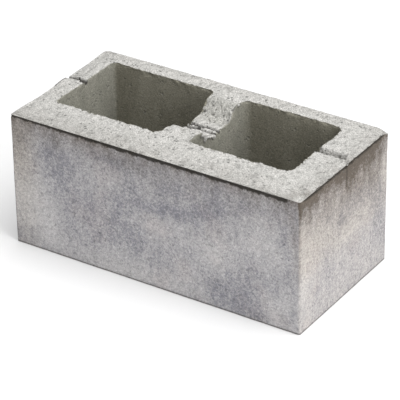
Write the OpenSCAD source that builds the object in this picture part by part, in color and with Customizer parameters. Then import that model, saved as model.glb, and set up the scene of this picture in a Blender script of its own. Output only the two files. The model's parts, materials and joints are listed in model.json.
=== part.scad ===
// Two-core concrete block with a thick front face shell and a thick right end web.
// Length runs along X, width along Y and height along Z.
// The origin is the centre of the lower bed face.

/* [Block] */
// Overall length, from end face to end face
block_length = 400; // [360:5:480]
// Overall width, across both face shells
block_width = 200; // [165:5:240]
// Overall height, from bed face to bed face
block_height = 175; // [130:5:240]
// Flat taken off every outer edge
arris = 1.5; // [0.5:0.5:4]

/* [Shells and webs] */
// Thickness of the front face shell at the top
front_shell = 55; // [35:1:65]
// Thickness of the back face shell at the top
back_shell = 25; // [20:1:35]
// Thickness of the left end web at the top
left_web = 28; // [20:1:50]
// Thickness of the middle web at the top
middle_web = 42; // [25:1:55]
// Thickness of the right end web at the top
right_web = 48; // [25:1:60]
// How far the middle web stands right of where it would make the cores equal
middle_web_shift = 6; // [0:1:10]

/* [Cores] */
// How far each core wall leans in from the top to the bottom
core_draft = 4; // [1:0.5:6]
// Radius of the core corners at the top
core_corner = 10; // [8:1:14]

/* [Lowered middle web] */
// How far the top of the middle web is lowered
saddle_depth = 16; // [8:1:30]
// Full-height web left beside the front face shell
saddle_front_land = 22; // [5:1:25]
// Full-height web left beside the back face shell
saddle_back_land = 13; // [5:1:20]
// Longest curved ramp at each end of the lowered part
saddle_ramp = 26; // [10:1:40]

/* [Core bar slot] */
// Width of the slot that the core bar leaves across the webs
bar_width = 9; // [6:1:16]
// Depth of the slot in the two end webs
bar_depth = 7; // [3:1:15]
// Depth of the slot in the lowered middle web
middle_bar_depth = 4; // [2:1:8]
// Solid concrete left between the slot and the right end face
bar_stop = 12; // [5:1:20]

/* [Hidden] */
concrete = [0.72, 0.71, 0.69];
// How far a cut runs on past the face it opens
past = 1;
// Straight pieces in each curved ramp
ramp_steps = 12;
// Sides of a core corner
core_facets = 32;

// Plan positions of the inner faces, at the top of the block.
core_length = (block_length - left_web - middle_web - right_web) / 2;
left_core_x = -block_length / 2 + left_web;
middle_web_x = left_core_x + core_length + middle_web_shift;
right_core_x = middle_web_x + middle_web;
right_web_x = block_length / 2 - right_web;
core_front_y = -block_width / 2 + front_shell;
core_back_y = block_width / 2 - back_shell;

// The core bar lies along the middle of the cores.
bar_y = (core_front_y + core_back_y) / 2;

// The lowered part of the middle web, between its two full-height lands.
saddle_front_y = core_front_y + saddle_front_land;
saddle_back_y = core_back_y - saddle_back_land;
saddle_z = block_height - saddle_depth;
ramp_length = min(saddle_ramp, (saddle_back_y - saddle_front_y - bar_width) / 2);

// A rectangle centred on the origin, with its corners cut off at 45 degrees.
module clipped_rectangle(long, wide, cut) {
    x = long / 2;
    y = wide / 2;
    polygon([
        [x - cut, -y], [x, -y + cut], [x, y - cut], [x - cut, y],
        [-x + cut, y], [-x, y - cut], [-x, -y + cut], [-x + cut, -y]
    ]);
}

// The solid block, with a flat on each of its twelve edges.
module outer_block() {
    intersection() {
        linear_extrude(block_height)
            clipped_rectangle(block_length, block_width, arris);
        translate([0, block_width / 2, block_height / 2])
            rotate([90, 0, 0])
                linear_extrude(block_width)
                    clipped_rectangle(block_length, block_height, arris);
        translate([-block_length / 2, 0, block_height / 2])
            rotate([90, 0, 90])
                linear_extrude(block_length)
                    clipped_rectangle(block_width, block_height, arris);
    }
}

// One hollow core from x_low to x_high: round corners, and walls that lean in towards the bottom.
module core(x_low, x_high) {
    // The walls keep their lean where they run on past the bed faces.
    lean_past = core_draft * past / block_height;
    hull()
        for (x = [x_low + core_corner, x_high - core_corner])
            for (y = [core_front_y + core_corner, core_back_y - core_corner])
                translate([x, y, -past])
                    cylinder(
                        h = block_height + 2 * past,
                        r1 = core_corner - core_draft - lean_past,
                        r2 = core_corner + lean_past,
                        $fn = core_facets
                    );
}

// Height of the lowered web where a share of the ramp, from 0 to 1, is behind.
function ramp_z(share) = block_height - saddle_depth * (1 - cos(180 * share)) / 2;

// The dip in the middle web: a flat floor with a curved ramp up to each land.
module saddle() {
    overlap = core_corner;
    front_ramp = [
        for (i = [0:ramp_steps])
            [saddle_front_y + ramp_length * i / ramp_steps, ramp_z(i / ramp_steps)]
    ];
    back_ramp = [
        for (i = [ramp_steps:-1:0])
            [saddle_back_y - ramp_length * i / ramp_steps, ramp_z(i / ramp_steps)]
    ];
    above = [
        [saddle_back_y, block_height + past],
        [saddle_front_y, block_height + past]
    ];
    translate([middle_web_x - overlap, 0, 0])
        rotate([90, 0, 90])
            linear_extrude(middle_web + 2 * overlap)
                polygon(concat(front_ramp, back_ramp, above));
}

// The slot through the end webs: open at the left end face, and stopped short of the right one.
module end_bar_slot() {
    translate([-block_length / 2 - past, bar_y - bar_width / 2, block_height - bar_depth])
        cube([block_length - bar_stop + past, bar_width, bar_depth + past]);
}

// The slot in the floor of the lowered middle web.
module middle_bar_slot() {
    overlap = core_corner;
    translate([middle_web_x - overlap, bar_y - bar_width / 2, saddle_z - middle_bar_depth])
        cube([middle_web + 2 * overlap, bar_width, middle_bar_depth + past]);
}

module concrete_block() {
    color(concrete)
        difference() {
            outer_block();
            core(left_core_x, middle_web_x);
            core(right_core_x, right_web_x);
            saddle();
            end_bar_slot();
            middle_bar_slot();
        }
}

concrete_block();
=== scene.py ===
# %% [markdown]
# # A hollow concrete block
#
# A concrete block is pressed from a stiff, almost dry mix, pushed out of its mould while
# it is still wet and left to set. That way of making it is all over its surface: the
# moulded faces are flat and stained, the top is open and sandy, the rims of the hollow
# cores crumble a little, and the bar that held the core moulds leaves a slot across the
# webs. This lesson builds one closed mesh with all of that, and one concrete material
# that knows which face it is on.

import json

import bpy
import numpy as np
from mathutils import Matrix, Vector


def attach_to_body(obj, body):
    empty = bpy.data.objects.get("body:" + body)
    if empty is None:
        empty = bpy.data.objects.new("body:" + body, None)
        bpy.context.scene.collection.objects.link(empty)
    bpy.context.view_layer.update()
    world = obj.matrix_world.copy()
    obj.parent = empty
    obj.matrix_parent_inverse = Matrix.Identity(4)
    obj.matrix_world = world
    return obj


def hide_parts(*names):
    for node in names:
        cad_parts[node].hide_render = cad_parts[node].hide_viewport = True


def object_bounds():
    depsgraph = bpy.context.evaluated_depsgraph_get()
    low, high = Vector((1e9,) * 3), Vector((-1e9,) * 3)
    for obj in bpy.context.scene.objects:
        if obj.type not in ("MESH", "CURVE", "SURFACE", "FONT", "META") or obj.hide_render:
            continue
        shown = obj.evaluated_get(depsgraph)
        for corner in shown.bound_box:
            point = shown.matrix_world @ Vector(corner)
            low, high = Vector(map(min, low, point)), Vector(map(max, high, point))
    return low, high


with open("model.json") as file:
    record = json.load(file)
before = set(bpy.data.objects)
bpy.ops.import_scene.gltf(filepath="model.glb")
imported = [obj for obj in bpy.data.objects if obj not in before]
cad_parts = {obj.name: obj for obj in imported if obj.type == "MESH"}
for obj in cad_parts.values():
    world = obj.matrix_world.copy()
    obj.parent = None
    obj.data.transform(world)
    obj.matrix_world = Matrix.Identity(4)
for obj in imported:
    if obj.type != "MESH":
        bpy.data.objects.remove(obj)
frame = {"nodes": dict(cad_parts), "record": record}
cad_low, cad_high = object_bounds()
print("CAD box in metres:", list(cad_low), list(cad_high))

# %% [markdown]
# ## Read the sizes off the CAD block
#
# The CAD solid is the jig for everything here, so its sizes are measured and not typed
# again. The outside is its box. The cores come from its mesh: the record says roughly
# where each opening is, and the corners of the solid that lie on the top within a finger's
# width of that opening are the rim of the core. Work is in millimetres up to the moment
# a mesh is made, because that is how a block maker would give every size below.

# %% Measure the block and its cores
MM = 0.001
LEVEL_TOLERANCE = 0.01
RIM_REACH = 12.0
cad_block = frame["nodes"]["concrete_block"]
solid_points = np.zeros(len(cad_block.data.vertices) * 3)
cad_block.data.vertices.foreach_get("co", solid_points)
solid_points = solid_points.reshape(-1, 3) / MM

low = np.array(cad_low) / MM
high = np.array(cad_high) / MM
height = high[2]
openings = {o["name"]: np.array(o["box_m"]) / MM for o in frame["record"]["physics"]["openings"]}


def core_rim(name, level):
    """Plan rectangle (low x, low y, high x, high y) of a core where it meets the height `level`:
    the extremes of the solid's points at that height within RIM_REACH of the opening."""
    box = openings[name]
    x, y, z = solid_points.T
    near = np.abs(z - level) < LEVEL_TOLERANCE
    near &= (x > box[0, 0] - RIM_REACH) & (x < box[1, 0] + RIM_REACH)
    near &= (y > box[0, 1] - RIM_REACH) & (y < box[1, 1] + RIM_REACH)
    rim = solid_points[near, :2]
    return np.concatenate([rim.min(0), rim.max(0)])


left_core = core_rim("left_core", height)
right_core = core_rim("right_core", height)
core_draft = left_core[2] - core_rim("left_core", 0.0)[2]
bar_y = (left_core[1] + left_core[3]) / 2
web_middle = (left_core[2] + right_core[0]) / 2
print("left core", left_core, "right core", right_core, "draft", core_draft, "bar at y", bar_y)

# %% [markdown]
# The top of the middle web is lowered in a smooth dip. Its profile is found as a builder
# would find it, by dropping a rod on to it every few millimetres: a ray goes down from
# above, along the middle of the web, and the height where it meets the CAD solid is kept.
# The rods that would fall into the bar's slot are left out, and the dip is drawn straight
# across there, because the slot is cut later and more roughly.

# %% Probe the dip in the middle web
SLOT_HALF_WIDTH = 4.5
SLOT_CLEARANCE = 1.0
ROD_SPACING = 2.0
ROD_START = 10.0
probe_y = np.arange(left_core[1], left_core[3] + 1, ROD_SPACING)
probe_y = probe_y[np.abs(probe_y - bar_y) > SLOT_HALF_WIDTH + SLOT_CLEARANCE]


def rod_height(x, y):
    """Height of the CAD solid under the plan point (x, y), in millimetres."""
    above = Vector((x, y, height + ROD_START)) * MM
    hit, place, _, _ = cad_block.ray_cast(above, Vector((0, 0, -1)))
    return place.z / MM if hit else 0.0


probe_z = np.array([rod_height(web_middle, y) for y in probe_y])
print("dip is", round(height - probe_z.min(), 2), "mm deep")

# %% [markdown]
# ## Noise that concrete can be made of
#
# Every irregular thing below comes from two functions. `lattice_noise` puts a random
# number on each corner of a lattice of cubes and blends smoothly between them: it is the
# soft unevenness of a pressed face, and `rough` piles several sizes of it up. `pits`
# scatters round hollows, at most one in each cube: they are the little voids between the
# grains. Both take whole arrays of points and give the same answer each time, because the
# random numbers are stirred out of the cube's own position. `smooth`, `bell`, `fading` and
# `peaks` are the four curves that say where something starts, ends or shows.

# %% Two kinds of noise
AXIS_FACTORS = (374761393, 668265263, 973418141)
SEED_FACTOR = 362437
STIRS = ((13, 1274126177), (15, 1103515245))
LOW_32_BITS = 0xFFFFFFFF
LOW_16_BITS = 0xFFFF
LAYER_STRENGTH = 0.55


def stirred(cell, seed):
    """A number from 0 to 1 for each whole-number position: its three parts, each times its own
    large factor, are added up, then twice mixed with their own high bits and multiplied."""
    mix = sum(cell[..., axis] * factor for axis, factor in enumerate(AXIS_FACTORS))
    mix = (mix + seed * SEED_FACTOR) & LOW_32_BITS
    for shift, factor in STIRS:
        mix = ((mix ^ (mix >> shift)) * factor) & LOW_32_BITS
    return ((mix ^ (mix >> 16)) & LOW_16_BITS) / LOW_16_BITS


def smooth(t):
    """The smooth step: 0 below 0, 1 above 1, and an S between."""
    t = np.clip(t, 0.0, 1.0)
    return t * t * (3.0 - 2.0 * t)


def bell(away, reach):
    """1 where `away` is 0, and dying out on both sides: e to the minus square of away over reach."""
    return np.exp(-((away / reach) ** 2))


def fading(away, reach):
    """1 where `away` is 0, and dying out beyond it: e to the minus away over reach."""
    return np.exp(-away / reach)


def peaks(noise, gain, start):
    """Only the high parts of a noise: the smooth step of gain times noise, less start."""
    return smooth(gain * noise - start)


def lattice_noise(points, size, seed):
    """Smooth noise from -1 to 1, with lumps about `size` across.
    Each corner of a lattice of cubes has a random number, and a point takes the mean of its
    eight corners, weighted by the smooth step of how near it is to each."""
    place = points / size
    cell = np.floor(place).astype(np.int64)
    share = smooth(place - cell)
    total = np.zeros(len(points))
    for corner in np.ndindex(2, 2, 2):
        weight = np.prod(np.where(corner, share, 1.0 - share), axis=1)
        total += weight * stirred(cell + np.array(corner), seed)
    return total * 2.0 - 1.0


def rough(points, size, seed, octaves=3):
    """Noise on noise: each layer is half as large and a little over half as strong."""
    total = np.zeros(len(points))
    for k in range(octaves):
        total += LAYER_STRENGTH**k * lattice_noise(points, size / 2**k, seed + k)
    return total


def pits(points, cell_size, share, radius, seed):
    """How deep each point lies in a round pit, from 0 outside to 1 at the middle.
    A `share` of the cubes hold one pit, with its middle at a random place in the cube and a
    radius between half and all of `radius`. The depth falls off as one minus distance squared."""
    place = points / cell_size
    home = np.floor(place).astype(np.int64)
    deepest = np.zeros(len(points))
    for step in np.ndindex(3, 3, 3):
        cell = home + np.array(step) - 1
        middle = cell + np.stack([stirred(cell, seed + k) for k in range(3)], axis=1)
        size = radius / cell_size * (0.5 + 0.5 * stirred(cell, seed + 3))
        away = np.linalg.norm(place - middle, axis=1) / size
        present = stirred(cell, seed + 4) < share
        deepest = np.maximum(deepest, np.where(present, np.clip(1.0 - away**2, 0, 1), 0))
    return deepest


# %% [markdown]
# ## The crown: how high the top is at every place
#
# Seen from above the block is a map, and its top is a height on that map. The dip in the
# middle web, the slot that the core bar left in each web, the crack that runs on from the
# right-hand slot and the worn corners are all written as one function of x and y.
# Because a rim takes its height from the same function, a slot also cuts down into the
# core wall and out through the end face with nothing more to do.

# %% The bar's slot and the crack
END_SLOT_DEPTH = 6.8
LEFT_SLOT_SHARE = 0.35
LEFT_SLOT_GAIN = 0.5
LEFT_SLOT_NARROWING = 3.6
RIGHT_SLOT_SHIFT = 1.5
SLOT_EDGE_RAMP = 1.3
SLOT_STOP = high[0] - 12.0
WEB_MARK_DEPTH = 4.2
WEB_MARK_WIDENING = 1.2
WEB_CRUMB_HALF_WIDTH = 3.0
WEB_CRUMB_FILL = 0.9
WEB_MARGIN, WEB_RAMP = 8, 3
RIM_RAMP = 4.0
LEFT_RUN_OUT = 7.0
BACK_RAGGEDNESS, FRONT_RAGGEDNESS = 0.5, 1.0
CRACK_DROP = 12.5
CRACK_DEPTH = 2.6
CRACK_HALF_WIDTH = 1.25
CRACK_START = 1.5
CRACK_WAVER = 0.5


def between(t, start, end, ramp):
    """1 between start and end, 0 outside, with a smooth ramp at both ends."""
    return smooth((t - start) / ramp + 0.5) * smooth((end - t) / ramp + 0.5)


def on_right_web(x):
    """1 on the web right of the right-hand core and 0 left of it: it rises over RIM_RAMP,
    just before the core's far rim."""
    return smooth((x - right_core[2] + 6) / RIM_RAMP)


def slot_cut(x, y):
    """Depth of the core bar's slot: a flat-bottomed groove along bar_y, with ragged edges.
    It runs out of the left end, shallower and narrower than on the right, and stops short of
    the right end. On the middle web the bar wobbled, so its mark is a little wider there, and
    crumbs fill all but its two edges."""
    flat = np.stack([x, y, np.zeros_like(x)], axis=1)
    middle = smooth((x - left_core[2] + WEB_MARGIN) / WEB_RAMP)
    middle *= smooth((right_core[0] + WEB_MARGIN - x) / WEB_RAMP)
    at_right = on_right_web(x)
    back_edge = bar_y + SLOT_HALF_WIDTH + WEB_MARK_WIDENING * middle + RIGHT_SLOT_SHIFT * at_right
    back_edge += BACK_RAGGEDNESS * rough(flat, 7.0, seed=11)
    front_edge = bar_y - SLOT_HALF_WIDTH - WEB_MARK_WIDENING * middle + RIGHT_SLOT_SHIFT * at_right
    front_edge += FRONT_RAGGEDNESS * rough(flat, 6.0, seed=12)
    front_edge += LEFT_SLOT_NARROWING * smooth((left_core[0] + 3 - x) / RIM_RAMP)
    across = between(y, front_edge, back_edge, SLOT_EDGE_RAMP)
    left = smooth((left_core[0] + 6 - x) / RIM_RAMP)
    left *= LEFT_SLOT_SHARE + LEFT_SLOT_GAIN * smooth((x - low[0] - 2) / LEFT_RUN_OUT)
    right = at_right * smooth((SLOT_STOP - x) / 1.6 + 0.5)
    crumbs = peaks(rough(flat, 5.0, seed=13, octaves=2), gain=1.8, start=-1.0)
    crumbs *= between(y, bar_y - WEB_CRUMB_HALF_WIDTH, bar_y + WEB_CRUMB_HALF_WIDTH, 1.8)
    web_mark = middle * WEB_MARK_DEPTH * (1 - WEB_CRUMB_FILL * crumbs)
    return across * np.maximum(END_SLOT_DEPTH * np.maximum(left, right), web_mark)


def crack_cut(x, y):
    """Depth of the crack from the right-hand slot's end: it bends to the front as an S curve,
    wavers a little, and its section is a bell."""
    along = (x - SLOT_STOP + CRACK_START) / (high[0] - SLOT_STOP + CRACK_START)
    line = bar_y + 1.0 - CRACK_DROP * smooth(along * 0.95)
    line += CRACK_WAVER * np.sin(x * 1.3)
    return CRACK_DEPTH * bell(y - line, CRACK_HALF_WIDTH) * smooth(along * 8.0 + 0.6)


# %% [markdown]
# The bar was pulled out sideways, and on the left web it pushed up a lump of mix in
# front of its slot. That arris has since worn down, most of all along its middle, so the
# lump stands proud of it. The back edge is a little worn too, and the far right corner
# has been knocked off altogether.

# %% The whole crown
LUMP_MIDDLE = np.array([low[0] + 7.0, bar_y - 12.0])
LUMP_SIZE = np.array([12.0, 13.0])
KNOCKED_CORNER = np.array([high[0] + 1.0, high[1] + 1.0])
KNOCK_DEPTH = 4.5
KNOCK_REACH = 17.0
LEFT_WEAR = 0.3
LEFT_WEAR_MIDDLE = 1.9
LEFT_WEAR_WIDTH = 14.0
WORN_START, WORN_END, WORN_RAMP = bar_y - 75, bar_y + 65, 50
BACK_WEAR = 0.8
BACK_WEAR_WIDTH = 6.0


def crown(x, y):
    """Height of the top at each plan point: the bed face, less the dip, the wear and the cuts.
    The lump is a squarish hill, e to the minus fourth powers, where the left wear is left out."""
    in_web = between(x, left_core[2] - 6, right_core[0] + 6, 1.0)
    dip = in_web * (height - np.interp(y, probe_y, probe_z))
    lump = np.exp(-np.sum(((np.stack([x, y], 1) - LUMP_MIDDLE) / LUMP_SIZE) ** 4, axis=1))
    worn_length = between(y, WORN_START, WORN_END, WORN_RAMP)
    left_wear = LEFT_WEAR + LEFT_WEAR_MIDDLE * worn_length
    left_wear *= smooth((low[0] + LEFT_WEAR_WIDTH - x) / LEFT_WEAR_WIDTH) * (1.0 - lump)
    back_wear = BACK_WEAR * smooth((y - high[1] + BACK_WEAR_WIDTH) / BACK_WEAR_WIDTH)
    from_corner = np.hypot(x - KNOCKED_CORNER[0], y - KNOCKED_CORNER[1])
    knocked = KNOCK_DEPTH * smooth(1.0 - from_corner / KNOCK_REACH)
    return height - dip - left_wear - back_wear - knocked - slot_cut(x, y) - crack_cut(x, y)


# %% [markdown]
# ## Outlines to carry the section round
#
# A hollow block is two rings that share the middle web. A ring's section, cut across the
# wall, is a closed loop: along the top, down the core wall, along the bottom and up the
# outside. That section is carried round the core, and a grid of the two directions is the
# surface. Both outlines of a ring, the core's and the outer one, are walked in step, side
# by side and corner by corner, so that the grid fans out at the corners instead of
# shearing. The steps crowd together where the bar's slot crosses a web.

# %% Rounded outlines, walked in step
LONG_STEPS = 130
SHORT_STEPS = 120


def crowded(count, middle, strength):
    """Fractions from 0 to 1 in `count` steps that crowd round `middle`:
    on each side they grow as a mix of the step's number and its square."""
    k = np.linspace(-1.0, 1.0, count + 1)
    bend = (1.0 - strength) * np.abs(k) + strength * k**2
    return np.where(k < 0, middle * (1.0 - bend), middle + (1.0 - middle) * bend)


def walk_outline(box, radii, arc_steps, crowding):
    """Points and outward directions on a rounded rectangle, anticlockwise from its front left.
    radii are the corners' (front left, front right, back right, back left). A radius of 0 is a
    corner on the cut between the two rings, and it has no arc. A side starts and ends at the
    middle of its corners' arcs, and its straight part is walked in the steps that are left."""
    x0, y0, x1, y1 = box
    corners = np.array([[x0, y0], [x1, y0], [x1, y1], [x0, y1]])
    ahead = np.array([[1, 0], [0, 1], [-1, 0], [0, -1]])
    outward = np.array([[0, -1], [1, 0], [0, 1], [-1, 0]])
    points, directions = [], []
    for side in range(4):
        go, out = ahead[side], outward[side]
        start, end = corners[side], corners[(side + 1) % 4]
        r0, r1 = radii[side], radii[(side + 1) % 4]
        straight = (LONG_STEPS, SHORT_STEPS)[side % 2] - arc_steps * ((r0 > 0) + (r1 > 0))
        turn = np.linspace(-np.pi / 4, 0, arc_steps + 1)[:-1, None]
        if r0 > 0:
            aim = np.cos(turn) * out + np.sin(turn) * go
            points.append(start + r0 * (go - out) + r0 * aim)
            directions.append(aim)
        first, last = start + r0 * go, end - r1 * go
        if side % 2:
            share = crowded(straight, (bar_y - first[1]) / (last[1] - first[1]), crowding)
        else:
            share = np.linspace(0, 1, straight + 1)
        share = share[:-1, None]
        points.append(first + (last - first) * share)
        directions.append(np.repeat(out[None, :].astype(float), len(share), axis=0))
        if r1 > 0:
            aim = np.cos(turn + np.pi / 4) * out + np.sin(turn + np.pi / 4) * go
            points.append(end - r1 * (go + out) + r1 * aim)
            directions.append(aim)
    return np.concatenate(points), np.concatenate(directions)


# %% [markdown]
# The section's rows are closest together where the block has the most to show: on the
# rims, on the arris and in the first centimetre of each wall. Further down a wall they
# spread out, because a moulded face is nearly flat and its grain is left to the material.

# %% Rows of the section
ARRIS = 1.2
RIM_ROUND = 1.4
TOP_ROWS = 34
BOTTOM_ROWS = 8
FOOT_ROWS = np.array([9.0, 4.0, 1.5, 0.0])
FIRST_INNER_DEPTH = 0.8
INNER_ROWS = 24
FIRST_OUTER_DEPTH = 0.7
OUTER_ROWS = 26
RIM_ARC_STEPS = 8
RIM_CROWDING = 0.25
EDGE_ARC_STEPS = 2
EDGE_CROWDING = 0.5
CUT_MARGIN = 1.5 * ARRIS
SAME_PLACE = 1e-6
FAR = 99.0
quarter = np.linspace(0, np.pi / 2, 4)


def spreading(first, total, count):
    """Depths from 0 to total in `count` steps, each a fixed ratio larger than the one before.
    The ratio is the one, of 4000 tried, whose steps add up nearest to the total."""
    ratios = np.linspace(1.0001, 2.0, 4000)
    sums = first * (ratios**count - 1) / (ratios - 1)
    ratio = ratios[np.argmin(np.abs(sums - total))]
    depth = np.cumsum(first * ratio ** np.arange(count))
    return np.concatenate([[0.0], depth * total / depth[-1]])


inner_depths = spreading(FIRST_INNER_DEPTH, height - RIM_ROUND - ARRIS, INNER_ROWS)
outer_depths = spreading(FIRST_OUTER_DEPTH, height - 2 * ARRIS - FOOT_ROWS[0], OUTER_ROWS)
outer_depths = np.concatenate([outer_depths, height - 2 * ARRIS - FOOT_ROWS[1:]])
print("core wall rows", len(inner_depths), "outer wall rows", len(outer_depths))


def ring(core, outer, core_radii, outer_radii):
    """One ring of the block, as a grid of points, one row for each row of the section.
    Returns the points, six numbers for each point that the finish needs, which columns have
    an outer wall, and how many rows the other columns have. The numbers are bed (1 on top
    and bottom), core (1 in the core), the distances from the rim of the core and from the
    outer arris (FAR where neither is near), and the plan direction that leads away from the
    core."""
    rim, rim_out = walk_outline(core, core_radii, RIM_ARC_STEPS, RIM_CROWDING)
    edge, edge_out = walk_outline(outer, outer_radii, EDGE_ARC_STEPS, EDGE_CROWDING)
    on_cut = np.abs(edge[:, 0] - web_middle) < SAME_PLACE
    y_low, y_high = outer[1], outer[3]
    at_front = on_cut & (edge[:, 1] <= y_low + SAME_PLACE)
    at_back = on_cut & (edge[:, 1] >= y_high - SAME_PLACE)
    inside = on_cut & ~at_front & ~at_back
    edge_out = np.where(on_cut[:, None], 0.0, edge_out)
    edge_out[at_front] = (0.0, -1.0)
    edge_out[at_back] = (0.0, 1.0)
    flat_edge = edge - ARRIS * edge_out
    flat_edge[inside, 1] = np.clip(edge[inside, 1], y_low + CUT_MARGIN, y_high - CUT_MARGIN)
    walled = ~inside
    rows, marks = [], []

    def add(plan, z, bed, in_core, from_rim, from_arris):
        """Adds one row: plan points, heights and the six numbers."""
        rows.append(np.column_stack([plan, np.broadcast_to(z, len(plan))]))
        parts = [np.broadcast_to(m, len(plan)) for m in (bed, in_core, from_rim, from_arris)]
        marks.append(np.column_stack([*parts, rim_out]))

    width = np.linalg.norm(flat_edge - rim, axis=1)
    top_inner = rim + RIM_ROUND * rim_out
    for share in np.linspace(0, 1, TOP_ROWS + 1):
        plan = flat_edge + (top_inner - flat_edge) * share
        add(plan, crown(*plan.T), 1, 0, width * (1 - share), width * share)
    rim_top = crown(*top_inner.T)
    for turn in quarter[1:]:
        plan = rim + RIM_ROUND * (1 - np.sin(turn)) * rim_out
        add(plan, rim_top - RIM_ROUND * (1 - np.cos(turn)), np.cos(turn), np.sin(turn), 0, width)
    wall_top = rim_top - RIM_ROUND
    for depth in inner_depths[1:]:
        z = wall_top - depth / inner_depths[-1] * (wall_top - ARRIS)
        plan = rim - (core_draft * (1 - z / height))[:, None] * rim_out
        add(plan, z, 0, 1, rim_top - z, FAR)
    foot = rim - core_draft * rim_out
    for turn in quarter[1:]:
        plan = foot + ARRIS * (1 - np.cos(turn)) * rim_out
        add(plan, ARRIS * (1 - np.sin(turn)), np.sin(turn), np.cos(turn), FAR, FAR)
    foot_inner = foot + ARRIS * rim_out
    for share in np.linspace(0, 1, BOTTOM_ROWS + 1)[1:]:
        add(foot_inner + (flat_edge - foot_inner) * share, 0.0, 1, 0, FAR, FAR)
    full_rows = len(rows)
    for turn in quarter[1:]:
        plan = edge - ARRIS * (1 - np.sin(turn)) * edge_out
        add(plan, ARRIS * (1 - np.cos(turn)), np.cos(turn), 0, FAR, FAR)
    edge_top = crown(*flat_edge.T)
    for depth in outer_depths[::-1][1:]:
        z = edge_top - ARRIS - depth / outer_depths[-1] * (edge_top - 2 * ARRIS)
        add(edge, z, 0, 0, FAR, edge_top - z)
    for turn in quarter[1:-1]:
        plan = edge - ARRIS * (1 - np.cos(turn)) * edge_out
        add(plan, edge_top - ARRIS * (1 - np.sin(turn)), np.sin(turn), 0, FAR, 0)
    return np.stack(rows), np.stack(marks), walled, full_rows


left_outer = np.array([low[0], low[1], web_middle, high[1]])
right_outer = np.array([web_middle, low[1], high[0], high[1]])
# Corner radii: front left, front right, back right, back left.
LEFT_CORE_RADII, LEFT_EDGE_RADII = (7, 10, 8, 5), (2.5, 0, 0, 7)
RIGHT_CORE_RADII, RIGHT_EDGE_RADII = (8, 10, 8, 12), (0, 3, 4, 0)
left_ring = ring(left_core, left_outer, LEFT_CORE_RADII, LEFT_EDGE_RADII)
right_ring = ring(right_core, right_outer, RIGHT_CORE_RADII, RIGHT_EDGE_RADII)
print("grid of the left ring", left_ring[0].shape, "of the right ring", right_ring[0].shape)

# %% [markdown]
# ## One closed skin
#
# Each grid becomes four-sided faces between neighbouring rows and columns, closed in both
# directions. Columns on the cut have no outer wall, so those faces are left out, and the
# two rings then share every point along the cut. Points that fall together are made one.
# An edge of a closed skin belongs to exactly two faces, which is counted and printed.

# %% Stitch the rings together
def ring_faces(rows, columns, walled, full_rows, first):
    """Faces of one grid as rows of four point numbers: each point with its neighbour below,
    the one below and beside, and the one beside. Points are counted from `first` up."""
    r, c = np.meshgrid(np.arange(rows), np.arange(columns), indexing="ij")
    below, beside = (r + 1) % rows, (c + 1) % columns
    both_walled = walled[c] & walled[beside]
    keep = (r < full_rows - 1) | both_walled
    corners = [r * columns + c, below * columns + c, below * columns + beside, r * columns + beside]
    return first + np.stack([k[keep] for k in corners], axis=1)


def stitch(rings):
    """Joins grids into one set of points, their marks and faces, and drops what nothing uses."""
    points, marks, faces, first = [], [], [], 0
    for grid, grid_marks, walled, full_rows in rings:
        rows, columns = grid.shape[:2]
        faces.append(ring_faces(rows, columns, walled, full_rows, first))
        points.append(grid.reshape(-1, 3))
        marks.append(grid_marks.reshape(rows * columns, -1))
        first += rows * columns
    points, marks, faces = (np.concatenate(part) for part in (points, marks, faces))
    used, faces = np.unique(faces, return_inverse=True)
    faces = faces.reshape(-1, 4)
    points, marks = points[used], marks[used]
    _, first_at, same = np.unique(
        np.round(points, 3) + 0.0, axis=0, return_index=True, return_inverse=True
    )
    return points[first_at], marks[first_at], same.reshape(-1)[faces]


def signed_volume(points, faces):
    """Volume inside the faces, negative if they point inwards: the sum of the wedges to the origin."""
    a, b, c, d = (points[faces[:, k]] for k in range(4))
    wedges = np.einsum("ij,ij->i", a, np.cross(b, c)) + np.einsum("ij,ij->i", a, np.cross(c, d))
    return wedges.sum() / 6.0


def point_normals(points, faces):
    """Outward direction at each point: the sum of its faces' cross products, brought to length 1."""
    a, b, c, d = (points[faces[:, k]] for k in range(4))
    across = np.cross(c - a, d - b)
    total = np.zeros_like(points)
    for k in range(4):
        np.add.at(total, faces[:, k], across)
    return total / np.maximum(np.linalg.norm(total, axis=1, keepdims=True), SAME_PLACE**2)


points, marks, faces = stitch([left_ring, right_ring])
if signed_volume(points, faces) < 0:
    faces = faces[:, ::-1]
sides = np.sort(np.concatenate([faces[:, [k, (k + 1) % 4]] for k in range(4)]), axis=1)
_, uses = np.unique(sides, axis=0, return_counts=True)
print(len(points), "points", len(faces), "faces", "open or doubled edges:", int((uses != 2).sum()))
CUBIC_MM_PER_LITRE = 1e6
print("volume in litres:", signed_volume(points, faces) / CUBIC_MM_PER_LITRE)

# %% [markdown]
# ## Wear and relief
#
# The clean skin is now worn like the real one. Rims crumble: the rim line wanders in plan,
# and crumbs are missing along it. The open top has grains and voids. The moulded faces are
# nearly flat, with a shallow undercut just below the top, where the mould's edge dragged
# the wet mix. The outside is only ever carved inwards from the CAD surface, and what would
# still reach past its box is trimmed back at the end. Over the hollow of a core a rim may
# also stand out by a millimetre or two, as mix that was squeezed there does.

# %% Crumbling rims
CRUMB_LOSS_DEPTH = 1.7
NICK_DEPTH = 0.7
bed, in_core, from_rim, from_arris = marks[:, :4].T
away = np.column_stack([marks[:, 4:6], np.zeros(len(points))])
normals = point_normals(points, faces)
x, y, z = points.T
moulded = (1 - bed) * (1 - in_core)
upper = smooth((z - height / 2) / 20)

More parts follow.
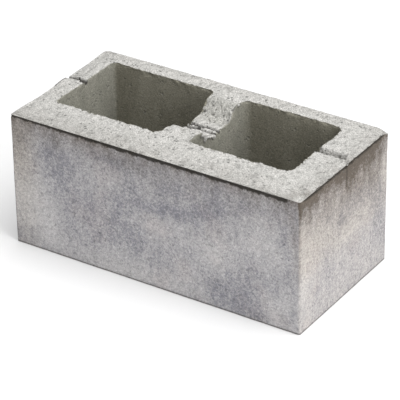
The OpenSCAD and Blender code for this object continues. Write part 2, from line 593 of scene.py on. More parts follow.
wander = 0.9 * rough(points, 11.0, seed=31) + 0.75 * rough(points, 4.6, seed=34, octaves=2)
rim_shift = wander * bell(from_rim, 6.0) * upper
bites = peaks(rough(points, 3.6, seed=37, octaves=2), gain=2.2, start=0.2)
crumb_loss = CRUMB_LOSS_DEPTH * bites * bell(from_rim, 2.0) * upper
nicked = peaks(rough(points, 4.5, seed=41), gain=2.4, start=0.9)
nicks = NICK_DEPTH * nicked * bell(from_arris, 1.8) * upper
print("rim wanders from", rim_shift.min().round(2), "to", rim_shift.max().round(2), "mm")

# %% [markdown]
# The top was struck off and never trowelled, so it has both sandy grain and open voids.
# The voids are deepest on the slope of the dip in the middle web, where no plate pressed.
# The whole top is lowered a little first, so that the grain's high spots still lie inside
# the CAD block.

# %% The open top
TOP_LOWERING = 0.75
SLOPE_START, SLOPE_END = bar_y + 16, bar_y + 48
top = bed * upper
slope = between(y, SLOPE_START, SLOPE_END, 10)
slope = between(x, left_core[2] - 3, right_core[0] + 3, 4) * slope
grain = 0.28 * rough(points, 24.0, seed=51) + 0.34 * rough(points, 5.0, seed=54, octaves=2)
grain += 0.22 * lattice_noise(points, 2.6, seed=57)
gaps = peaks(rough(points, 5.0, seed=59, octaves=2), gain=2.6, start=1.0)
fine_voids = pits(points, 7.0, share=0.55, radius=2.3, seed=61)
large_voids = pits(points, 24.0, share=0.45, radius=3.0, seed=67)
slope_gaps = peaks(rough(points, 3.4, seed=71, octaves=2), gain=2.4, start=0.9) * slope
top_voids = np.maximum.reduce([0.8 * gaps, 0.9 * fine_voids, 1.6 * large_voids, 1.3 * slope_gaps])
top_relief = top * (TOP_LOWERING - grain * (1 + 1.0 * slope) + top_voids)
print("top lowered by", TOP_LOWERING, "mm, with voids up to", top_voids.max().round(2), "mm deep")

# %% [markdown]
# Outside, the mould pressed the faces flat. What is left is a slow unevenness, a few small
# air holes, and the undercut below the top on the front and right-hand faces. On the right
# the crack comes over the edge and runs down the face as a faint seam. In the cores the
# mould was drawn straight up, so their unevenness is stretched along the height.

# %% The moulded faces and the core walls
FACE_LOWERING = 0.35
WALL_LOWERING = 0.3
UNDERCUT_DEPTH = 2.1
UNDERCUT_WIDTH = 4.8
UNDERCUT_WIDENING = 1.6
SEAM_HALF_WIDTH = 1.2
SEAM_DEPTH = 0.8
on_front = moulded * smooth((low[1] + 4 - y) / 3)
on_right = moulded * smooth((x - high[0] + 4) / 3)
air_holes = pits(points, 15.0, share=0.30, radius=1.7, seed=81)
unevenness = 0.2 * rough(points, 45.0, seed=84) + 0.1 * rough(points, 9.0, seed=87)
face_relief = moulded * (FACE_LOWERING - unevenness + 0.7 * air_holes)

# The line is wider and deeper towards the right of the front. It dies out before the
# front's right corner, and before both corners of the right-hand end.
line_width = UNDERCUT_WIDTH + UNDERCUT_WIDENING * on_front * smooth((x - low[0] - 50) / 110)
line_width += 0.7 * rough(points, 22.0, seed=91, octaves=2) + 1.2 * rough(points, 5.0, seed=94, octaves=2)
undercut_line = smooth((from_arris - 0.2) / 0.9) * smooth((line_width - from_arris) / 1.8)
front_part = on_front * smooth((high[0] - 14 - x) / 10) * (0.6 + 0.4 * smooth((x - low[0] - 40) / 90))
right_part = on_right * smooth((high[1] - 8 - y) / 12) * smooth((y - low[1] - 4) / 10)
undercut = UNDERCUT_DEPTH * undercut_line * np.maximum(front_part, right_part)

seam_y = bar_y - CRACK_DROP + CRACK_WAVER * np.sin(z * 0.16)
seam = on_right * bell(y - seam_y, SEAM_HALF_WIDTH) * smooth((z - 0.72 * height) / (0.2 * height))

stretched = points * np.array([1, 1, 0.4])
wall_unevenness = 0.16 * rough(stretched, 16.0, seed=101) + 0.12 * rough(points, 5.0, seed=104)
wall_relief = in_core * (WALL_LOWERING - wall_unevenness)
print("undercut is", undercut.max().round(2), "mm deep and", line_width.max().round(1), "mm high at most")

# %% [markdown]
# Where the bar left the middle web it squeezed out a few crumbs, which set as small fangs
# that hang over the wall of the right-hand core. One more sits on the left core's side of
# the web, and one at the back of the right core's rim. Each is a soft bump on the core
# wall, given by its place along y and z, its half sizes and how far it stands out.

# %% Squeezed-out crumbs
CRUMBS = [
    # side, y, z, half width, half height, stands out
    (+1, -17.0, 169.5, 4.0, 2.4, 3.0),
    (+1, -13.5, 163.0, 2.0, 4.2, 3.8),
    (+1, -7.0, 163.0, 4.0, 1.8, 3.4),
    (+1, 0.0, 160.0, 3.6, 1.8, 3.2),
    (+1, 5.0, 157.5, 2.2, 2.6, 4.2),
    (-1, 9.0, 156.0, 3.0, 2.4, 2.0),
    (+1, 62.0, 173.0, 2.4, 1.8, 2.4),
]
CRUMB_REACH = 3.0
squeezed = np.zeros(len(points))
for side, crumb_y, crumb_z, half_y, half_z, stands in CRUMBS:
    face_x = right_core[0] if side > 0 else left_core[2]
    shape = bell(y - crumb_y, half_y) * bell(z - crumb_z, half_z)
    squeezed += stands * bell(x - face_x, CRUMB_REACH) * shape
squeezed *= np.clip(in_core + 0.4 * bed, 0, 1)
# The fangs take the open top's pale colour: paste like the top, and partly a painted highlight where they
# catch the light from above.
crumb_share = smooth((squeezed - 0.5) / 1.2)

# %% Carve it all
FLOOR_TOLERANCE = 0.01
cut_depth = crumb_loss + nicks + top_relief + face_relief + undercut + SEAM_DEPTH * seam + wall_relief
carved = points + rim_shift[:, None] * away - cut_depth[:, None] * normals
carved += squeezed[:, None] * normals
carved = np.clip(carved, low, high)
carved[z < FLOOR_TOLERANCE, 2] = 0.0
removed = (signed_volume(points, faces) - signed_volume(carved, faces)) / CUBIC_MM_PER_LITRE
print("carving removes", removed.round(4), "litres")

# %% [markdown]
# ## Marks for the finish
#
# The material has to know where it is, so nine numbers are kept on each point. `bed` and
# `core` say which kind of face this is, and `left_wall` how far a core wall is a left-hand
# one. `stain_and_highlight` carries the big slow patches of the moulded faces, from about -1
# for the palest to 1 for the darkest, and one painted highlight among them. `soot_and_shade`
# is the brown dirt together with the painted shadow under the top edge, `hollow` the nearly
# black marks, most of them painted shade, and `warm` a faint sandy tint. `slope` marks the
# rough part of the dip, and `calm` the smoother web at the right. The patches are listed one
# by one, each an ellipse that fades out, and noise bends their outlines so that none looks
# like an ellipse. On the back and the left end the stain is left to slow noise.

# %% Patches on the front and right-hand faces
FRONT_PATCHES = [
    # x, z, half length, half height, strength
    (-136, 118, 24, 28, 0.65),
    (-142, 142, 22, 12, 0.40),
    (-108, 88, 28, 14, 0.45),
    (-45, 64, 50, 24, 0.55),
    (-45, 100, 24, 12, 0.45),
    (-60, 152, 30, 8, 0.55),
    (-32, 126, 14, 16, 0.45),
    (0, 108, 32, 7, 0.75),
    (42, 112, 28, 8, 0.85),
    (66, 121, 12, 8, 0.60),
    (84, 134, 12, 12, 0.85),
    (24, 138, 22, 14, 0.55),
    (115, 150, 40, 9, 0.40),
    (176, 128, 7, 22, 0.65),
    (105, 42, 50, 10, 0.50),
    (118, 20, 46, 16, 0.85),
    (164, 60, 24, 10, 0.60),
    (-190, 14, 20, 14, 0.70),
    (-136, 62, 10, 8, 0.40),
    (-92, 36, 22, 9, 0.25),
    (-182, 62, 20, 44, -1.00),
    (-152, 44, 16, 30, -0.80),
    (-70, 122, 22, 12, -0.25),
    (-6, 136, 16, 10, -0.40),
    (10, 80, 28, 16, -0.60),
    (88, 72, 26, 22, -0.80),
    (146, 108, 34, 26, -0.70),
    (172, 26, 16, 22, -0.90),
    (-40, 8, 90, 14, -0.90),
    (36, 18, 26, 14, -0.60),
]
# Brown dirt and painted shadow near the top edge, as patches on the front.
FRONT_SOOT_AND_SHADE = [
    # x, z, half length, half height, strength
    (-194, 150, 12, 30, 0.22),
    (-120, 160, 60, 10, 0.12),
    (193, 120, 6, 46, 0.32),
    (-30, 152, 40, 8, 0.12),
]
# The same on the right-hand end, where the painted shadow under the top edge is heaviest.
RIGHT_SOOT_AND_SHADE = [
    # y, z, half length, half height, strength
    (30, 152, 42, 26, 0.22),
    (44, 134, 26, 16, 0.20),
    (14, 150, 10, 24, 0.14),
    (64, 124, 14, 14, 0.18),
    (-76, 142, 7, 6, 0.22),
    (-34, 134, 16, 10, 0.12),
    (70, 155, 12, 16, 0.28),
    (-74, 156, 12, 8, 0.16),
]
RIGHT_PATCHES_AND_HIGHLIGHT = [
    # y, z, half length, half height, strength
    (-34, 122, 12, 12, 0.40),
    (-12, 102, 14, 10, 0.70),
    (30, 118, 34, 12, 0.55),
    (-40, 84, 12, 6, 0.45),
    (4, 102, 12, 7, 0.45),
    (60, 100, 30, 12, 0.30),
    (84, 60, 18, 60, 0.45),
    (-30, 50, 26, 26, 0.25),
    # Painted highlight: the pale strip where the rounded front corner catches the light.
    (-88, 60, 12, 70, -0.60),
    (-52, 112, 16, 14, -0.40),
    (14, 82, 30, 9, -0.50),
    (92, 140, 8, 26, -0.50),
]

# %% Stains, and one painted highlight
BEND_SIZE = 26.0
BEND_ALONG, BEND_UP = 9.0, 7.0
PLAIN_STAIN = 0.6


def patchwork(along, z, bend, patches):
    """Sum of the patches at each point: strength times e to the minus squared distance,
    counted in half sizes, with the place first bent by noise."""
    along, up = along + BEND_ALONG * bend[0], z + BEND_UP * bend[1]
    total = np.zeros(len(z))
    for middle, level, half_length, half_height, strength in patches:
        away_squared = ((along - middle) / half_length) ** 2 + ((up - level) / half_height) ** 2
        total += strength * np.exp(-away_squared)
    return total


bend = [rough(points, BEND_SIZE, seed=111), rough(points, BEND_SIZE, seed=114)]
stain_and_highlight = on_front * patchwork(x, z, bend, FRONT_PATCHES)
stain_and_highlight += on_right * patchwork(y, z, bend, RIGHT_PATCHES_AND_HIGHLIGHT)
elsewhere = moulded * (1 - on_front) * (1 - on_right)
stain_and_highlight += elsewhere * PLAIN_STAIN * rough(points, 60.0, seed=117)
print("stain from", stain_and_highlight.min().round(2), "to", stain_and_highlight.max().round(2))

# %% [markdown]
# Below the top edge runs a brown band: part dirt that has run down from the edge and part
# painted shadow under it. It is strongest just below the arris, fades over some centimetres
# and breaks up into streaks. The right-hand end has far more of it than the front. On top a
# little dirt was trodden in along the front, on the web at the right and along the back.
# `warm` is where the faces keep a sandy tint: the right-hand end and the front's left part.

# %% Soot and painted shade, and warmth
FRONT_SOOT_AND_SHADE_SHORT, FRONT_SOOT_AND_SHADE_LONG = 0.52, 0.50
RIGHT_SOOT_AND_SHADE_SHORT, RIGHT_SOOT_AND_SHADE_LONG = 0.65, 1.20
FRONT_DIRT, RIGHT_DIRT, EDGE_DIRT, BACK_DIRT = 0.14, 0.14, 0.10, 0.06
under_top = height - z
# The brown band: dirt run down from the top edge and painted shadow under it, in a short and a long fade.
soot_and_shade = on_front * (FRONT_SOOT_AND_SHADE_SHORT * fading(under_top, 9.0) + FRONT_SOOT_AND_SHADE_LONG * fading(under_top, 28.0))
soot_and_shade += on_front * patchwork(x, z, bend, FRONT_SOOT_AND_SHADE)
back_fade = smooth((high[1] - y) / 30) * (1.0 - 0.15 * smooth((low[1] + 14 - y) / 14))
soot_and_shade += on_right * RIGHT_SOOT_AND_SHADE_LONG * fading(under_top, 32.0) * (0.45 + 0.55 * back_fade)
soot_and_shade += on_right * RIGHT_SOOT_AND_SHADE_SHORT * fading(under_top, 11.0)
soot_and_shade += on_right * patchwork(y, z, bend, RIGHT_SOOT_AND_SHADE)
streak_points = points * np.array([1, 1, 0.25])
soot_and_shade *= 0.9 + 0.22 * rough(points, 9.0, seed=121) + 0.18 * rough(streak_points, 6.0, seed=124)

trodden = FRONT_DIRT * smooth((left_core[1] - 12 - y) / 30) + EDGE_DIRT * fading(y - low[1], 5.0)
trodden += RIGHT_DIRT * smooth((x - right_core[2] - 14) / 30) + RIGHT_DIRT * fading(high[0] - x, 5.0)
trodden += BACK_DIRT * smooth((y - left_core[3] - 3) / 14)
soot_and_shade += top * trodden * (1.0 + 0.9 * rough(points, 13.0, seed=127, octaves=2))

warm = on_right * (0.5 + 0.5 * between(z, 75, 150, 40))
warm += on_front * smooth((left_core[0] + 22 - x) / 40) * (0.5 + 0.5 * smooth((z - 60) / 60))
print("soot up to", soot_and_shade.max().round(2), "warmth up to", warm.max().round(2))

# %% [markdown]
# The nearly black marks come last. The voids of the top and the air holes of the faces
# darken with their depth, and the crack's seam on the right-hand end is dark. The rest is
# painted shade: in the bar's slots and the crack on top, in the undercut below the top, a
# contact shadow round the foot, beside the ridge of crumbs on the middle web, on two upright
# edges, under the back rims of the cores, in the pocket in front of the bar's line in the
# right-hand core (with a darker line at its edge), round each fang, along the lump's outer
# edge, and a shadow in the first centimetre below the top edge. Each is a share, and a point
# takes the largest of them.

# %% Dark marks: darker voids and seam, and painted shade
# Shares of the nearly black marks; all but the voids, air holes and seam are painted shade.
VOID_DARKENING, AIR_HOLE_DARKENING, UNDERCUT_SHADE, SEAM_DIRT = 0.45, 0.5, 0.8, 0.80
SLOT_SHADE, RIGHT_WEB_SLOT_SHADE = 0.20, 0.07
RIDGE_SHADE, EDGE_LINE_SHADE, UNDER_RIM_SHADE, OUTLINE_SHADE, LUMP_SHADE = 0.75, 0.95, 0.5, 0.5, 0.8
POCKET_SHADE, POCKET_LINE_DARKENING = 0.22, 0.40
POCKET_END, POCKET_LINE = 6.5, 7.0
RIGHT_SHADE_UNDER_TOP, FRONT_SHADE_UNDER_TOP = 0.42, 0.35
SHADE_UNDER_TOP_START, SHADE_UNDER_TOP_END = -30, 82
RIDGE_OFFSET, RIDGE_LINE_WIDTH = 4.8, 1.2
FOOT_LINE_HEIGHT, EDGE_LINE_WIDTH, UNDER_RIM_HEIGHT = 2.2, 2.0, 3.0
# Painted shade in the bar's slots and the crack on top, darker where they are deeper and lighter on the
# right-hand web.
slot_depth = slot_cut(x, y) + crack_cut(x, y)
slot_shade = slot_depth * (SLOT_SHADE - (SLOT_SHADE - RIGHT_WEB_SLOT_SHADE) * on_right_web(x))
# The top's voids and the faces' air holes darken with their depth.
top_hollows = top * np.clip(VOID_DARKENING * top_voids + slot_shade, 0, 1)
# The undercut's share is painted shadow under the top edge.
face_hollows = UNDERCUT_SHADE * undercut + SEAM_DIRT * seam + AIR_HOLE_DARKENING * moulded * air_holes
# Painted contact shadow: a dark line round the foot, where the block meets the floor.
foot = moulded * bell(z, FOOT_LINE_HEIGHT)
# Painted shade in the gaps on both sides of the ridge of crumbs in the middle web's slot.
web_top = top * between(x, left_core[2] + 1, right_core[0] - 1, 2)
ridge_sides = bell(np.abs(y - bar_y) - RIDGE_OFFSET, RIDGE_LINE_WIDTH)
ridge_sides *= 0.8 + 0.5 * rough(points, 5.0, seed=131)
# Painted shade on two upright edges: the front's left edge and the right-hand end's back edge, turned from
# the light.
edge_lines = on_front * bell(x - low[0], EDGE_LINE_WIDTH)
edge_lines += on_right * bell(high[1] - y, EDGE_LINE_WIDTH) * smooth((under_top - 6) / 10)
# Painted shade on the core walls just under their back rims.
under_rim = in_core * smooth(away[:, 1]) * bell(from_rim, UNDER_RIM_HEIGHT) * upper
# Painted shade in the pocket in front of the bar's line, on the right-hand core's wall by the middle web,
# with a darker line along its edge.
at_web_wall = in_core * bell(x - right_core[0], 5.0) * smooth((z - height + 70) / 40)
pocket = POCKET_SHADE * smooth((POCKET_END - y) / 1.5) + POCKET_LINE_DARKENING * bell(y - POCKET_LINE, 0.9)
pocket = at_web_wall * pocket * (1.0 - crumb_share)
# Painted shade round each fang.
crumb_outline = OUTLINE_SHADE * smooth(squeezed / 0.3) * (1.0 - crumb_share)
# Painted shadow under the top edge: the darkest first centimetre on the right-hand end and on the front's
# right end.
shade_under_top = RIGHT_SHADE_UNDER_TOP * on_right * fading(under_top, 12.0)
shade_under_top *= between(y, SHADE_UNDER_TOP_START, SHADE_UNDER_TOP_END, 24)
shade_under_top += FRONT_SHADE_UNDER_TOP * on_front * fading(under_top, 7.0) * smooth((x - 165) / 20)
# Painted shade along the lump's outer edge.
lump_edge = top * smooth((low[0] + 3.5 - x) / 2.0) * between(y, bar_y - 27, bar_y + 1, 4)
hollow = np.maximum.reduce([
    top_hollows, np.clip(face_hollows, 0, 1), foot, RIDGE_SHADE * web_top * ridge_sides,
    EDGE_LINE_SHADE * edge_lines, UNDER_RIM_SHADE * under_rim, pocket, crumb_outline,
    shade_under_top, LUMP_SHADE * lump_edge,
])
print("share of points with dark dirt:", (hollow > 0.5).mean().round(3))

# %% [markdown]
# The finished points now become a mesh. Its faces already point outwards, and `foreach_set`
# hands whole arrays over at once, with the nine numbers as attributes. The piece stands for
# the CAD block: it rides on the same body.

# %% Make the mesh
def make_mesh(name, points, faces, values):
    """A smooth-shaded mesh object in metres, with each entry of `values` as a point attribute."""
    mesh = bpy.data.meshes.new(name)
    mesh.vertices.add(len(points))
    mesh.vertices.foreach_set("co", (points * MM).astype(np.float32).ravel())
    mesh.loops.add(faces.size)
    mesh.loops.foreach_set("vertex_index", faces.astype(np.int32).ravel())
    mesh.polygons.add(len(faces))
    mesh.polygons.foreach_set("loop_start", np.arange(0, faces.size, 4, dtype=np.int32))
    mesh.polygons.foreach_set("use_smooth", np.ones(len(faces), dtype=bool))
    mesh.update(calc_edges=True)
    for key, value in values.items():
        mesh.attributes.new(key, "FLOAT", "POINT").data.foreach_set("value", value.astype(np.float32))
    if mesh.validate():
        print(name, "had faults that were mended")
    piece = bpy.data.objects.new(name, mesh)
    bpy.context.scene.collection.objects.link(piece)
    return piece


calm = top * smooth((x - right_core[2] - 2) / 20)
# Fangs count as open top for the colour, partly as a painted highlight.
marks_to_keep = {"bed": np.maximum(bed, crumb_share), "core": in_core * (1 - crumb_share)}
marks_to_keep |= {"hollow": hollow, "stain_and_highlight": stain_and_highlight, "soot_and_shade": soot_and_shade, "slope": slope * top, "warm": warm}
marks_to_keep |= {"left_wall": in_core * np.clip(-away[:, 0], 0, 1), "calm": calm}
block = make_mesh("block_skin", carved, faces, marks_to_keep)
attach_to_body(block, "root")
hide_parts("concrete_block")
print("block_skin has", 2 * len(block.data.polygons), "triangles")

# %% [markdown]
# ## The concrete
#
# One material serves the whole block, as one mix does. Its colour is built as the eye
# finds it: first the kind of face (pale open top, grey moulded face, brown-grey core wall
# made darker as painted shade) with its stains and mottling, then the brown dirt and painted
# shadow below the top edge, then speckle the size of sand grains, and last the nearly black
# marks, most of them painted shade. Small helpers keep the node wiring readable. Sizes are
# in millimetres, and colours are as a paint chart gives them, 0 to 255.

# %% Helpers for wiring nodes
concrete = bpy.data.materials.new("pressed_concrete")
concrete.use_nodes = True
nodes, links = concrete.node_tree.nodes, concrete.node_tree.links
shader = nodes["Principled BSDF"]
place = nodes.new("ShaderNodeTexCoord").outputs["Object"]
MM_PER_METRE = 1000.0
NOISE_TO_SWING = 4.0


def linear(red, green, blue):
    """A colour as a paint chart gives it, turned into the shader's own scale: below 0.04045 the
    share is divided by 12.92, and above it is shifted by 0.055 and raised to the power 2.4."""
    share = np.array([red, green, blue]) / 255.0
    straight = np.where(share <= 0.04045, share / 12.92, ((share + 0.055) / 1.055) ** 2.4)
    return (*straight, 1.0)


def attach(value, socket):
    """Links a socket, or sets a plain number or colour."""
    if isinstance(value, bpy.types.NodeSocket):
        links.new(value, socket)
    else:
        socket.default_value = value


def attribute(name):
    """One of the numbers kept on the points."""
    node = nodes.new("ShaderNodeAttribute")
    node.attribute_name = name
    return node.outputs["Fac"]


def math(operation, *values):
    """One sum of the shader: ADD, SUBTRACT, MULTIPLY or MAXIMUM of its two values."""
    node = nodes.new("ShaderNodeMath")
    node.operation = operation
    for value, socket in zip(values, node.inputs):
        attach(value, socket)
    return node.outputs[0]


def stretch_to(value, low_in, high_in, low_out=0.0, high_out=1.0):
    """Maps low_in..high_in on to low_out..high_out, and holds it there outside."""
    node = nodes.new("ShaderNodeMapRange")
    node.interpolation_type = "SMOOTHSTEP"
    for value, socket in zip((value, low_in, high_in, low_out, high_out), node.inputs):
        attach(value, socket)
    return node.outputs[0]


def blend(kind, amount, first, second):
    """Mixes two colours: amount 0 gives the first."""
    node = nodes.new("ShaderNodeMix")
    node.data_type, node.blend_type = "RGBA", kind
    attach(amount, node.inputs["Factor"])
    attach(first, node.inputs["A"])
    attach(second, node.inputs["B"])
    return node.outputs["Result"]


def cloud(size_mm, detail=3.0, roughness=0.55, squeeze=None, warp=0.0):
    """Noise whose lumps are about size_mm across, with `detail` finer layers, each `roughness`
    times as strong. squeeze scales the three directions, and warp twists the lumps."""
    node = nodes.new("ShaderNodeTexNoise")
    node.inputs["Scale"].default_value = MM_PER_METRE / size_mm
    node.inputs["Detail"].default_value = detail
    node.inputs["Roughness"].default_value = roughness
    node.inputs["Distortion"].default_value = warp
    source = place
    if squeeze:
        mapping = nodes.new("ShaderNodeMapping")
        mapping.inputs["Scale"].default_value = squeeze
        links.new(place, mapping.inputs["Vector"])
        source = mapping.outputs[0]
    links.new(source, node.inputs["Vector"])
    return node.outputs["Fac"]


def grains(size_mm):
    """Distance from the nearest of many scattered points about size_mm apart, 0 at the point."""
    node = nodes.new("ShaderNodeTexVoronoi")
    node.inputs["Scale"].default_value = MM_PER_METRE / size_mm
    links.new(place, node.inputs["Vector"])
    return node.outputs["Distance"]


def swing(value, amount):
    """Noise turned into a swing about zero, mostly within plus and minus `amount`: its middle,
    0.5, is taken off, and the rest is stretched four times."""
    return math("MULTIPLY", math("SUBTRACT", value, 0.5), NOISE_TO_SWING * amount)


bed_face, core_face = attribute("bed"), attribute("core")
hollow_here, stain_and_highlight_here, soot_and_shade_here = attribute("hollow"), attribute("stain_and_highlight"), attribute("soot_and_shade")
slope_here, warm_here, left_wall_here = attribute("slope"), attribute("warm"), attribute("left_wall")
calm_here = attribute("calm")

# %% [markdown]
# The moulded face runs from a pale grey, where the lime has bloomed, through a plain grey
# to a bluish slate where the face stayed damp. One number, the tone, chooses between them:
# -1 is the palest and 1 the darkest. The listed stains, with one painted highlight among
# them, lie under it as a soft wash, slow clouds and upright streaks loosen them, and the
# finest marks swing it most, so a stain looks like a crowd of darker grains. Two faint
# tints, rosy and warm, come last.

# %% Colour of the moulded faces
STAIN_AND_HIGHLIGHT_STRENGTH = 1.05
slow = swing(cloud(38, detail=4, roughness=0.6, warp=0.5), amount=0.25)
streaks = swing(cloud(7, detail=3, roughness=0.6, squeeze=(1.0, 1.0, 0.22)), amount=0.30)
medium = math("ADD", swing(cloud(6, detail=3, roughness=0.6), amount=0.30), streaks)
fine_marks = swing(cloud(2.6, detail=3, roughness=0.75, warp=0.8), amount=1.0)
washed = math("ADD", math("MULTIPLY", stain_and_highlight_here, STAIN_AND_HIGHLIGHT_STRENGTH), slow)
tone = math("ADD", washed, math("ADD", medium, fine_marks))
pale, plain_grey, slate = linear(190, 188, 188), linear(171, 169, 171), linear(136, 136, 143)
rosy_tint, warm_tint = linear(255, 250, 248), linear(253, 248, 239)
moulded_colour = blend("MIX", math("MAXIMUM", tone, 0.0), plain_grey, slate)
moulded_colour = blend("MIX", math("MAXIMUM", math("MULTIPLY", tone, -1.0), 0.0), moulded_colour, pale)
rosy = stretch_to(cloud(52, detail=2, roughness=0.5), 0.50, 0.68, 0.0, 0.5)
moulded_colour = blend("MULTIPLY", rosy, moulded_colour, rosy_tint)
moulded_colour = blend("MULTIPLY", warm_here, moulded_colour, warm_tint)

# %% [markdown]
# The open top is the paste itself with nothing pressed on it, so it is the palest face, and
# a shade darker on the rough slope of the dip. The core walls are a brown grey, darker than
# the faces as painted shade of the deep cores, and each left-hand wall is a little less
# brown. The brown dirt and painted shadow of the band below the top edge are then laid over
# all of them. The fine marks and streaks thin and thicken it, so that it clings to the same
# grains.

# %% Colour of the open top and of the core walls
slow_top, quick_top = cloud(34, detail=3, roughness=0.6), cloud(9, detail=3, roughness=0.65)
top_cloud = math("ADD", 0.5, math("ADD", swing(slow_top, amount=0.2), swing(quick_top, amount=0.55)))
top_colour = blend("MIX", top_cloud, linear(198, 196, 192), linear(175, 174, 170))
top_colour = blend("MULTIPLY", slope_here, top_colour, linear(240, 240, 238))
core_cloud = stretch_to(cloud(30, detail=4, roughness=0.6, squeeze=(1.0, 1.0, 0.6)), 0.3, 0.7)
# Darker than the moulded faces: painted shade of the deep cores, over a brown grey.
core_colour = blend("MIX", core_cloud, linear(144, 141, 128), linear(127, 124, 111))
left_wall_colour = blend("MIX", core_cloud, linear(143, 141, 131), linear(130, 129, 119))
core_colour = blend("MIX", left_wall_here, core_colour, left_wall_colour)

# %% Put the faces together and lay the brown dirt and painted shadow over them
# Brown of the dirt and of the painted shadow under the top edge.
BROWN_DIRT_AND_SHADE = linear(93, 85, 77)
DIRT_AND_SHADE_CLING = 0.4
colour = blend("MIX", bed_face, moulded_colour, top_colour)
colour = blend("MIX", core_face, colour, core_colour)
cling = math("ADD", 1.0, math("MULTIPLY", math("ADD", fine_marks, streaks), DIRT_AND_SHADE_CLING))
dirt_and_shade_amount = math("MULTIPLY", soot_and_shade_here, cling)
colour = blend("MIX", math("MAXIMUM", dirt_and_shade_amount, 0.0), colour, BROWN_DIRT_AND_SHADE)

# %% [markdown]
# Sand shows as speckle: most grains are a shade lighter or darker than the paste, and a
# few are much darker. The speckle is strongest on the open top, and the dark grains are
# half as strong on the calm web at the right. The nearly black marks kept as `hollow` come
# last and cover whatever is there: the darker voids, air holes and seam, and painted shade
# in the slots, the undercut, round the foot, along edges and under rims.

# %% Speckle, then dark marks that are mostly painted shade
FACE_SPECKLE, TOP_SPECKLE, CORE_SPECKLE = 0.6, 1.5, 0.4
FINE_MARK_SHADE = 0.22
FACE_GRAIN, TOP_GRAIN = 0.30, 0.95
CALM_SHARE = 0.5
MOST_DARKENING = 0.92
DARK_GRAIN, DARK_DIRT_AND_SHADE = linear(118, 118, 115), linear(56, 53, 48)
speckle_strength = math("MULTIPLY", core_face, CORE_SPECKLE)
speckle_strength = math("ADD", stretch_to(bed_face, 0.0, 1.0, FACE_SPECKLE, TOP_SPECKLE), speckle_strength)
coarse_speckle = swing(cloud(3.0, detail=3, roughness=0.75), amount=0.15)
fine_speckle = swing(cloud(1.5, detail=1, roughness=0.5), amount=0.20)
speckle = math("ADD", coarse_speckle, fine_speckle)
speckle = math("ADD", 1.0, math("MULTIPLY", speckle, speckle_strength))
moulded_here = math("SUBTRACT", math("SUBTRACT", 1.0, bed_face), core_face)
mark_shade = math("MULTIPLY", math("MULTIPLY", fine_marks, FINE_MARK_SHADE), moulded_here)
speckle = math("SUBTRACT", speckle, mark_shade)
speckle_colour = nodes.new("ShaderNodeCombineColor")
for channel in range(3):
    links.new(speckle, speckle_colour.inputs[channel])
colour = blend("MULTIPLY", 1.0, colour, speckle_colour.outputs[0])

small_grain = stretch_to(grains(5.0), 0.34, 0.12)
large_grain = stretch_to(grains(9.0), 0.27, 0.12)
grain_choice = stretch_to(cloud(12.0, detail=3, roughness=0.7), 0.48, 0.60)
dark_grain = math("MULTIPLY", math("MAXIMUM", small_grain, large_grain), grain_choice)
grain_strength = math("MULTIPLY", dark_grain, stretch_to(bed_face, 0.0, 1.0, FACE_GRAIN, TOP_GRAIN))
not_calm = math("SUBTRACT", 1.0, math("MULTIPLY", calm_here, CALM_SHARE))
colour = blend("MIX", math("MULTIPLY", grain_strength, not_calm), colour, DARK_GRAIN)
# Nearly black marks, mostly painted shade, go over everything.
colour = blend("MIX", stretch_to(hollow_here, 0.05, 0.95, 0.0, MOST_DARKENING), colour, DARK_DIRT_AND_SHADE)
links.new(colour, shader.inputs["Base Color"])

# %% [markdown]
# Dry concrete is rough everywhere and has almost no shine. Its bump has two parts: sand
# grains of a millimetre or two, and pin-holes at the dark grains. The carved mesh already
# holds everything larger.

# %% Roughness and bump
SMOOTHEST, ROUGHEST = 0.86, 0.97
SHINE = 0.25
FACE_SAND, TOP_SAND = 0.8, 1.2
PIN_HOLE_DEPTH = -0.8
BUMP_STRENGTH = 0.9
BUMP_METRES = 0.0012
roughness = stretch_to(cloud(12, detail=3, roughness=0.6), 0.3, 0.7, SMOOTHEST, ROUGHEST)
links.new(roughness, shader.inputs["Roughness"])
shader.inputs["Specular IOR Level"].default_value = SHINE
sand = cloud(2.2, detail=4, roughness=0.7)
sand = math("MULTIPLY", sand, stretch_to(bed_face, 0.0, 1.0, FACE_SAND, TOP_SAND))
pin_holes = math("MULTIPLY", dark_grain, PIN_HOLE_DEPTH)
bump = nodes.new("ShaderNodeBump")
bump.inputs["Strength"].default_value = BUMP_STRENGTH
bump.inputs["Distance"].default_value = BUMP_METRES
links.new(math("ADD", sand, pin_holes), bump.inputs["Height"])
links.new(bump.outputs[0], shader.inputs["Normal"])
block.data.materials.append(concrete)

# %% [markdown]
# ## Floor, light and camera
#
# The block stands on a pale studio floor that runs out of view. Light comes from a large
# soft box overhead, a second one to the right and an even glow all round, so the top is
# brightest, the right-hand end next and the front is in its own soft shade. The camera is
# a long lens three metres away, swung a little over a third of a right angle from the
# front towards the right-hand end, tipped down by a third of one, and rolled by a degree.

# %% Floor
FLOOR_HALF = 6.0
FLOOR_WHITE = (0.90, 0.90, 0.90, 1.0)
FLOOR_ROUGHNESS = 0.9
FLOOR_SHINE = 0.1
floor_mesh = bpy.data.meshes.new("floor")
corners = [(-FLOOR_HALF, -FLOOR_HALF, 0), (FLOOR_HALF, -FLOOR_HALF, 0)]
corners += [(FLOOR_HALF, FLOOR_HALF, 0), (-FLOOR_HALF, FLOOR_HALF, 0)]
floor_mesh.from_pydata(corners, [], [(0, 1, 2, 3)])
floor = bpy.data.objects.new("floor", floor_mesh)
bpy.context.scene.collection.objects.link(floor)
floor_paint = bpy.data.materials.new("floor_paint")
floor_paint.use_nodes = True
floor_shader = floor_paint.node_tree.nodes["Principled BSDF"]
floor_shader.inputs["Base Color"].default_value = FLOOR_WHITE
floor_shader.inputs["Roughness"].default_value = FLOOR_ROUGHNESS
floor_shader.inputs["Specular IOR Level"].default_value = FLOOR_SHINE
floor_mesh.materials.append(floor_paint)


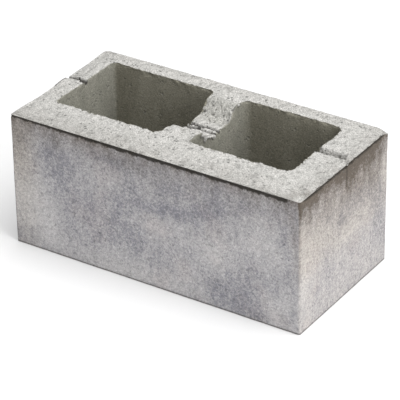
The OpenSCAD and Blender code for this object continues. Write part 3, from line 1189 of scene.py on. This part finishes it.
# %% Light
LIT_POINT = (0, 0, 0.1)
OVERHEAD_PLACE, OVERHEAD_SIZE, OVERHEAD_WATTS = (0.6, 0.15, 2.8), 3.0, 76
RIGHT_PLACE, RIGHT_SIZE, RIGHT_WATTS = (2.6, -0.5, 1.3), 1.6, 44
GLOW = 0.51


def soft_box(name, place, size, watts):
    """A square area light at `place`, turned to face the lit point near the block's middle."""
    lamp = bpy.data.lights.new(name, "AREA")
    lamp.size = size
    lamp.energy = watts
    light = bpy.data.objects.new(name, lamp)
    light.location = place
    light.rotation_euler = (Vector(LIT_POINT) - Vector(place)).to_track_quat("-Z", "Y").to_euler()
    bpy.context.scene.collection.objects.link(light)


soft_box("overhead_box", OVERHEAD_PLACE, OVERHEAD_SIZE, OVERHEAD_WATTS)
soft_box("right_box", RIGHT_PLACE, RIGHT_SIZE, RIGHT_WATTS)

world = bpy.data.worlds.new("studio")
bpy.context.scene.world = world
world.use_nodes = True
world.node_tree.nodes["Background"].inputs["Color"].default_value = (1, 1, 1, 1)
world.node_tree.nodes["Background"].inputs["Strength"].default_value = GLOW
bpy.context.scene.view_settings.view_transform = "Standard"

# %% Camera
AZIMUTH, ELEVATION, ROLL = np.radians([33.4, 30.1, -0.9])
CAMERA_DISTANCE = 2.984
LENS = 225.6
SENSOR_WIDTH = 36.0
aim = np.array([0.001, 0.0, 0.069])
back = np.array(
    [np.sin(AZIMUTH) * np.cos(ELEVATION), -np.cos(AZIMUTH) * np.cos(ELEVATION), np.sin(ELEVATION)]
)
level_right = np.cross(-back, [0, 0, 1])
level_right /= np.linalg.norm(level_right)
level_up = np.cross(level_right, -back)
right = np.cos(ROLL) * level_right + np.sin(ROLL) * level_up
up = -np.sin(ROLL) * level_right + np.cos(ROLL) * level_up

lens = bpy.data.cameras.new("long_lens")
lens.lens = LENS
lens.sensor_width = SENSOR_WIDTH
camera = bpy.data.objects.new("long_lens", lens)
pose = np.eye(4)
pose[:3, 0], pose[:3, 1], pose[:3, 2] = right, up, back
pose[:3, 3] = aim + CAMERA_DISTANCE * back
camera.matrix_world = Matrix(pose.tolist())
bpy.context.scene.collection.objects.link(camera)
bpy.context.scene.camera = camera
